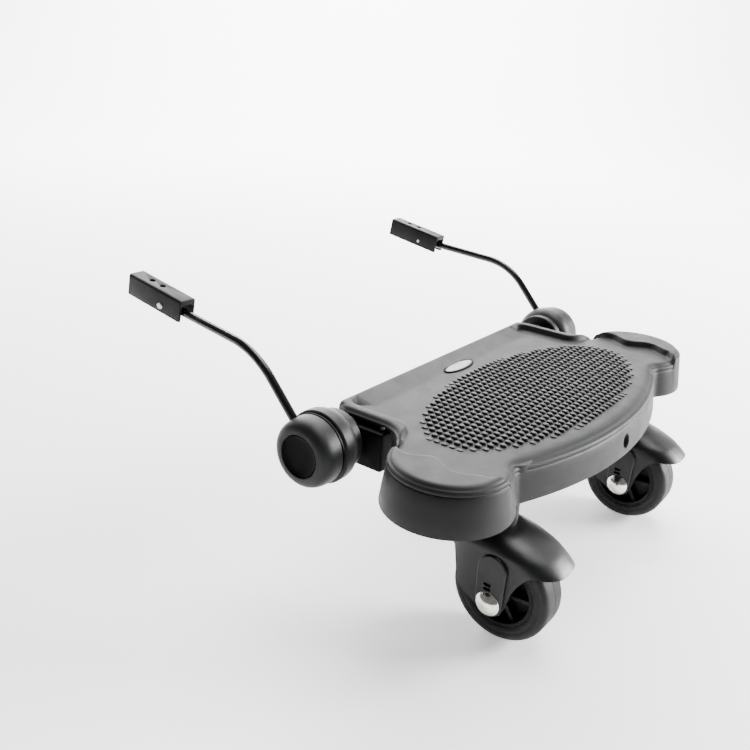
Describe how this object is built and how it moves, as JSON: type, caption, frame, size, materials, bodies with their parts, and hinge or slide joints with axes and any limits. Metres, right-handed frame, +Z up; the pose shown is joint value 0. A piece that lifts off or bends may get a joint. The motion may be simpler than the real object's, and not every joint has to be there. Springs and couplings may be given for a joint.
{
  "type": "buggy board",
  "caption": "Ride-on stroller platform with swivel casters at the rear and a bent arm from a hub at each front corner, ending in a plug-in connector.",
  "frame": {"origin": "on the floor under the middle of the overall width and length", "axes": "+X to the rider's right when facing the stroller, +Y forward towards the stroller, +Z up"},
  "size_m": [0.3998, 0.3648, 0.21],
  "materials": {
    "deck_grey": "satin, finely grained",
    "badge_dark": "smooth, low gloss",
    "bare_steel": "plain zinc",
    "black_plastic": "satin",
    "hub_grey": "satin",
    "button_dark": "satin",
    "rod_black": "gloss",
    "fork_black": "satin",
    "nickel": "polished",
    "nylon": "matt",
    "wheel_dark": "satin",
    "tyre_dark": "matt"
  },
  "bodies": {
    "platform": {"deck_shell": "deck_grey", "badge_plate": "badge_dark", "cross_tube": "bare_steel", "bracket_screws": "bare_steel", "hub_bracket_l": "black_plastic", "hub_base_l": "hub_grey", "lock_ring_l": "bare_steel", "friction_ring_l": "black_plastic", "pivot_bolt_l": "bare_steel", "stem_bush_l": "nylon", "button_spring_l": "bare_steel", "hub_bracket_r": "black_plastic", "hub_base_r": "hub_grey", "lock_ring_r": "bare_steel", "friction_ring_r": "black_plastic", "pivot_bolt_r": "bare_steel", "stem_bush_r": "nylon", "button_spring_r": "bare_steel"},
    "arm_l": {"hub_cap_l": "hub_grey", "arm_rod_l": "rod_black"},
    "button_l": {"hub_button_l": "button_dark", "clutch_disc_l": "bare_steel"},
    "link_l": {"connector_l": "black_plastic", "connector_pin_l": "bare_steel"},
    "caster_l": {"fork_l": "fork_black", "stem_l": "bare_steel", "thrust_washer_l": "nylon", "stem_clip_l": "bare_steel", "axle_bolt_l": "nickel", "axle_nut_l": "nickel"},
    "wheel_l": {"wheel_core_l": "wheel_dark", "wheel_bush_l": "nylon", "tyre_l": "tyre_dark"},
    "arm_r": {"hub_cap_r": "hub_grey", "arm_rod_r": "rod_black"},
    "button_r": {"hub_button_r": "button_dark", "clutch_disc_r": "bare_steel"},
    "link_r": {"connector_r": "black_plastic", "connector_pin_r": "bare_steel"},
    "caster_r": {"fork_r": "fork_black", "stem_r": "bare_steel", "thrust_washer_r": "nylon", "stem_clip_r": "bare_steel", "axle_bolt_r": "nickel", "axle_nut_r": "nickel"},
    "wheel_r": {"wheel_core_r": "wheel_dark", "wheel_bush_r": "nylon", "tyre_r": "tyre_dark"}
  },
  "joints": [
    {"name": "arm_pivot_l", "type": "hinge", "parent": "platform", "child": "arm_l", "pos_m": [0, -0.01308, 0.1245], "axis": [1, 0, 0], "range_deg": [-25, 100]},
    {"name": "button_press_l", "type": "slide", "parent": "arm_l", "child": "button_l", "axis": [1, 0, 0], "range_m": [0, 0.004], "stiffness_N_per_m": 600, "springref_m": -0.002, "deforming": ["button_spring_l"]},
    {"name": "connector_tilt_l", "type": "hinge", "parent": "arm_l", "child": "link_l", "pos_m": [-0.1725, 0.14407, 0.19189], "axis": [1, 0, 0], "range_deg": [-55, 5]},
    {"name": "caster_swivel_l", "type": "hinge", "parent": "platform", "child": "caster_l", "pos_m": [-0.1126, -0.12838, 0.1], "axis": [0, 0, 1], "continuous": true},
    {"name": "wheel_spin_l", "type": "hinge", "parent": "caster_l", "child": "wheel_l", "pos_m": [-0.1126, -0.13838, 0.037], "axis": [1, 0, 0], "continuous": true},
    {"name": "arm_pivot_r", "type": "hinge", "parent": "platform", "child": "arm_r", "pos_m": [0, -0.01308, 0.1245], "axis": [1, 0, 0], "range_deg": [-25, 100]},
    {"name": "button_press_r", "type": "slide", "parent": "arm_r", "child": "button_r", "axis": [-1, 0, 0], "range_m": [0, 0.004], "stiffness_N_per_m": 600, "springref_m": -0.002, "deforming": ["button_spring_r"]},
    {"name": "connector_tilt_r", "type": "hinge", "parent": "arm_r", "child": "link_r", "pos_m": [0.1725, 0.14407, 0.19189], "axis": [1, 0, 0], "range_deg": [-55, 5]},
    {"name": "caster_swivel_r", "type": "hinge", "parent": "platform", "child": "caster_r", "pos_m": [0.1126, -0.12838, 0.1], "axis": [0, 0, 1], "continuous": true},
    {"name": "wheel_spin_r", "type": "hinge", "parent": "caster_r", "child": "wheel_r", "pos_m": [0.1126, -0.13838, 0.037], "axis": [1, 0, 0], "continuous": true}
  ]
}
